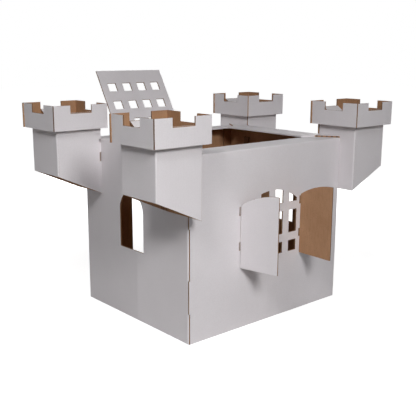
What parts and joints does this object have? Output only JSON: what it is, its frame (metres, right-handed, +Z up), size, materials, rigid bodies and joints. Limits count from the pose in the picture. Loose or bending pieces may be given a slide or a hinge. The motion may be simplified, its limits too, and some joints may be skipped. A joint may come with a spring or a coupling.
{
  "type": "cardboard play castle",
  "caption": "Child-size play castle of folded corrugated board: open-topped walls, corner turrets with crenellated crowns, shuttered lattice window, arched side windows, lifted portcullis",
  "frame": {"origin": "middle of the front wall's foot, on the floor and halfway through the board", "axes": "+Z up, +X to the right seen from the front, the front wall with the lattice window faces -Y"},
  "size_m": [1.539, 1.3499, 1.1607],
  "materials": {
    "board": "white liner outside, brown kraft inside and at the cut edges"
  },
  "bodies": {
    "root": {"front_right_walls": "board", "back_left_walls": "board", "left_shutter": "board", "right_shutter": "board", "front_left_turret": "board", "front_right_turret": "board", "back_left_turret": "board", "back_right_turret": "board", "front_left_crown": "board", "front_right_crown": "board", "back_left_crown": "board", "back_right_crown": "board"}
  },
  "joints": []
}
